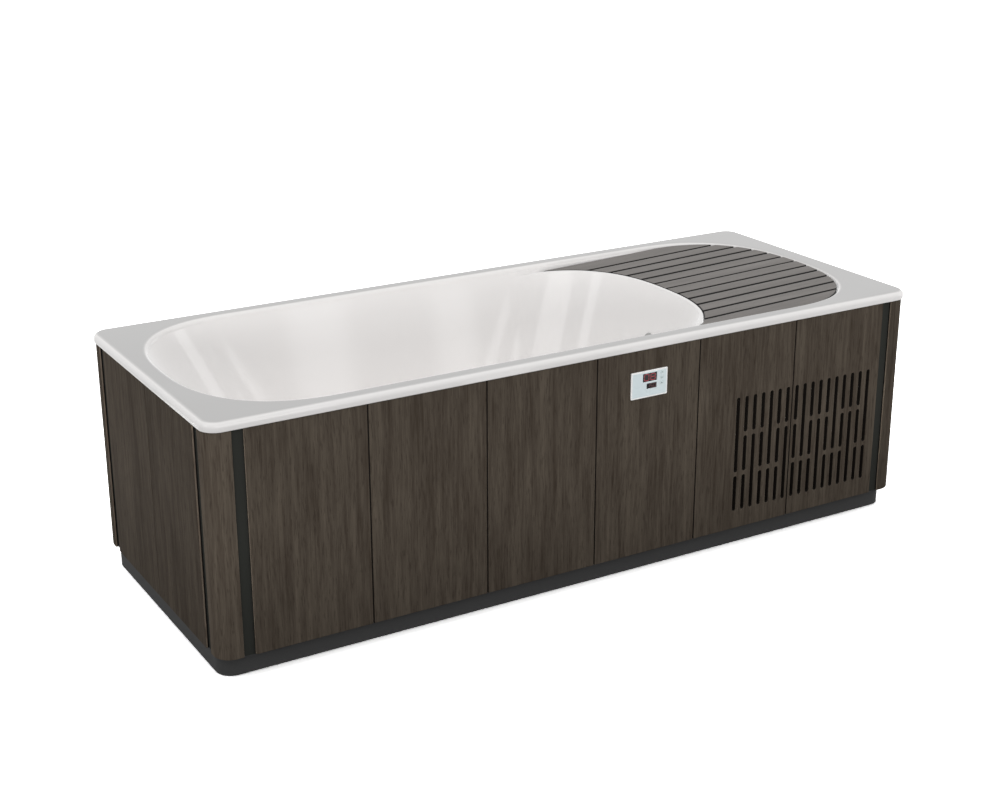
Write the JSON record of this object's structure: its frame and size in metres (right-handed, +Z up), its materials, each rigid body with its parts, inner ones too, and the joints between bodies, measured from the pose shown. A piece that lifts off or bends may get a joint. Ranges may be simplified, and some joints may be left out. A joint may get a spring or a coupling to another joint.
{
  "type": "cold plunge tub",
  "caption": "Long cold plunge tub: glossy white oval basin in a board-clad cabinet with rounded corners, slatted lift-off deck over the chiller, vent slots and a small control panel.",
  "frame": {"origin": "middle of the underside, on the floor", "axes": "+X along the length from the head end towards the deck, -Y the front with the control panel, +Z up"},
  "size_m": [2.3, 0.9, 0.716],
  "materials": {
    "acrylic": "gloss",
    "wood": "satin",
    "dark_channel": "satin",
    "plinth": "matte",
    "deck_slat": "matte",
    "control_plate": "satin",
    "display_lens": "gloss",
    "white_plastic": "satin",
    "grey_plastic": "matte",
    "black_plastic": "matte",
    "compressor_black": "satin",
    "coated_fins": "satin",
    "copper_line": "satin",
    "filter_paper": "matte",
    "insulation_foam": "matte"
  },
  "bodies": {
    "tub": {"tub_shell": "acrylic", "front_panel_1": "wood", "front_panel_2": "wood", "front_panel_3": "wood", "front_panel_4": "wood", "front_panel_5": "wood", "front_panel_6": "wood", "rear_panel_1": "wood", "rear_panel_2": "wood", "rear_panel_3": "wood", "left_panel": "wood", "right_panel": "wood", "corner_post_front_left": "wood", "corner_post_front_right": "wood", "corner_post_rear_right": "wood", "corner_post_rear_left": "wood", "corner_channel_front_left": "dark_channel", "corner_channel_front_right": "dark_channel", "corner_channel_rear_right": "dark_channel", "corner_channel_rear_left": "dark_channel", "plinth": "plinth", "control_plate": "control_plate", "display_lens": "display_lens", "filter_housing": "white_plastic", "suction_fitting": "white_plastic", "suction_pipe": "white_plastic", "filter_pipe": "white_plastic", "return_pipe": "white_plastic", "inlet_fitting": "white_plastic", "heat_exchanger": "grey_plastic", "drain_valve": "grey_plastic", "control_box": "black_plastic", "circulation_pump": "black_plastic", "fan_shroud": "black_plastic", "compressor": "compressor_black", "condenser_coil": "coated_fins", "discharge_line": "copper_line", "suction_line": "copper_line", "filter_cartridge": "filter_paper", "basin_pedestal": "insulation_foam"},
    "deck": {"deck_slat_1": "deck_slat", "deck_slat_2": "deck_slat", "deck_slat_3": "deck_slat", "deck_slat_4": "deck_slat", "deck_slat_5": "deck_slat", "deck_slat_6": "deck_slat", "deck_slat_7": "deck_slat", "deck_slat_8": "deck_slat", "deck_slat_9": "deck_slat", "deck_slat_10": "deck_slat", "deck_slat_11": "deck_slat", "deck_slat_12": "deck_slat", "deck_batten_1": "deck_slat", "deck_batten_2": "deck_slat"},
    "fan": {"fan_rotor": "black_plastic"},
    "filter_lid": {"filter_cap": "grey_plastic"},
    "drain_handle": {"drain_lever": "black_plastic"},
    "key_1": {"control_key_1": "white_plastic"},
    "key_2": {"control_key_2": "white_plastic"},
    "key_3": {"control_key_3": "white_plastic"}
  },
  "joints": [
    {"name": "deck_lift", "type": "slide", "parent": "tub", "child": "deck", "axis": [0, 0, 1], "range_m": [0, 0.3]},
    {"name": "fan_spin", "type": "hinge", "parent": "tub", "child": "fan", "pos_m": [0.75387, -0.3555, 0.30075], "axis": [0, 1, 0], "continuous": true},
    {"name": "filter_lid_turn", "type": "hinge", "parent": "tub", "child": "filter_lid", "pos_m": [0.81381, 0.2, 0.6586], "axis": [-0.0342, 0, 0.9994], "range_deg": [0, 90]},
    {"name": "drain_handle_turn", "type": "hinge", "parent": "tub", "child": "drain_handle", "pos_m": [0.29, 0.3805, 0.1356], "axis": [0, 0, -1], "range_deg": [0, 90]},
    {"name": "key_1_press", "type": "slide", "parent": "tub", "child": "key_1", "axis": [0, 1, 0], "range_m": [0, 0.0006], "stiffness_N_per_m": 500},
    {"name": "key_2_press", "type": "slide", "parent": "tub", "child": "key_2", "axis": [0, 1, 0], "range_m": [0, 0.0006], "stiffness_N_per_m": 500},
    {"name": "key_3_press", "type": "slide", "parent": "tub", "child": "key_3", "axis": [0, 1, 0], "range_m": [0, 0.0006], "stiffness_N_per_m": 500}
  ]
}
